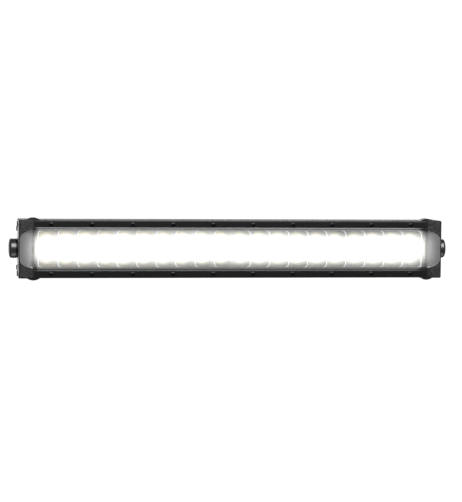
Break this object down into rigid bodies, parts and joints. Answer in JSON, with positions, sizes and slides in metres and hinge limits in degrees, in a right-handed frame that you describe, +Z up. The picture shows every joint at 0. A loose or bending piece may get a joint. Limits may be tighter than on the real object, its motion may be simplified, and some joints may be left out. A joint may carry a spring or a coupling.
{
  "type": "led light bar",
  "caption": "Straight double-row LED light bar with a finned housing, screwed bezels, sealed cast end caps and round pivot knobs for side brackets.",
  "frame": {"origin": "centre of the bar, on the common axis of the two pivot bolts, which is also the centre of its box", "axes": "+X along the bar to its right end as seen from the front, -Y the way the lamps shine, +Z up"},
  "size_m": [0.5694, 0.058, 0.0794],
  "materials": {
    "housing_black": "satin black anodised extrusion",
    "bezel_black": "satin black anodised, fine brushed grain along the bar",
    "cap_powder_coat": "textured black powder coat on a die-casting",
    "gasket_black": "smooth moulded rubber",
    "silicone_black": "matte silicone",
    "lens_clear": "clear polycarbonate",
    "reflector_bright": "vacuum-metallised plastic, mirror bright",
    "lamp_board_white": "white solder mask on aluminium",
    "lamp_base_white": "matte ceramic",
    "phosphor_yellow": "yellow phosphor under clear silicone, lit",
    "thermal_pad_grey": "soft filled silicone",
    "screw_steel": "zinc plated",
    "screw_black": "black oxide",
    "bolt_black": "black oxide",
    "washer_black": "black zinc",
    "knob_black": "polished black",
    "nylon_black": "moulded nylon",
    "board_green": "green solder mask",
    "ferrite_grey": "matte ferrite",
    "can_aluminium": "drawn cans",
    "chip_black": "moulded epoxy",
    "terminal_green": "moulded",
    "header_white": "moulded nylon",
    "lead_red": "silicone insulation",
    "lead_black": "silicone insulation",
    "membrane_white": "woven membrane"
  },
  "bodies": {
    "bar": {"board_links": "header_white", "board_screws": "screw_steel", "driver_board": "board_green", "driver_capacitors": "can_aluminium", "driver_chips": "chip_black", "driver_coils": "ferrite_grey", "driver_header": "header_white", "driver_pad": "thermal_pad_grey", "driver_screws": "screw_steel", "driver_terminal": "terminal_green", "driver_tray": "nylon_black", "gland_body": "nylon_black", "gland_locknut": "nylon_black", "gland_nut": "nylon_black", "gland_seal": "silicone_black", "gland_sleeve": "silicone_black", "housing": "housing_black", "lamp_bases": "lamp_base_white", "lamp_domes": "phosphor_yellow", "lead_grommet": "silicone_black", "left_cap_screws": "screw_black", "left_end_cap": "cap_powder_coat", "left_end_gasket": "gasket_black", "left_lamp_board": "lamp_board_white", "left_thermal_pad": "thermal_pad_grey", "left_thread_insert": "screw_steel", "lens": "lens_clear", "lower_bezel": "bezel_black", "lower_bezel_screws": "screw_black", "lower_lens_seal": "silicone_black", "negative_lead": "lead_black", "positive_lead": "lead_red", "reflector_1": "reflector_bright", "reflector_2": "reflector_bright", "reflector_3": "reflector_bright", "reflector_4": "reflector_bright", "reflector_5": "reflector_bright", "right_cap_screws": "screw_black", "right_end_cap": "cap_powder_coat", "right_end_gasket": "gasket_black", "right_lamp_board": "lamp_board_white", "right_thermal_pad": "thermal_pad_grey", "right_thread_insert": "screw_steel", "upper_bezel": "bezel_black", "upper_bezel_screws": "screw_black", "upper_lens_seal": "silicone_black", "vent_body": "nylon_black", "vent_locknut": "nylon_black", "vent_membrane": "membrane_white", "vent_seal": "silicone_black"},
    "left_washers": {"left_flat_washer": "washer_black", "left_lock_washer": "screw_steel"},
    "left_bolt": {"left_pivot_bolt": "bolt_black", "left_knob": "knob_black"},
    "right_washers": {"right_flat_washer": "washer_black", "right_lock_washer": "screw_steel"},
    "right_bolt": {"right_pivot_bolt": "bolt_black", "right_knob": "knob_black"}
  },
  "joints": [
    {"name": "left_bolt_travel", "type": "slide", "parent": "bar", "child": "left_washers", "axis": [-1, 0, 0], "range_m": [0, 0.0081]},
    {"name": "left_bolt_turn", "type": "hinge", "parent": "left_washers", "child": "left_bolt", "pos_m": [-0.27355, 0, 0], "axis": [-1, 0, 0], "range_deg": [0, 2304]},
    {"name": "right_bolt_travel", "type": "slide", "parent": "bar", "child": "right_washers", "axis": [1, 0, 0], "range_m": [0, 0.0081]},
    {"name": "right_bolt_turn", "type": "hinge", "parent": "right_washers", "child": "right_bolt", "pos_m": [0.27355, 0, 0], "axis": [1, 0, 0], "range_deg": [0, 2304]}
  ],
  "couplings": [
    {"joint": "left_bolt_travel", "follows": "left_bolt_turn", "m_per_rad": 0.00019894},
    {"joint": "right_bolt_travel", "follows": "right_bolt_turn", "m_per_rad": 0.00019894}
  ]
}
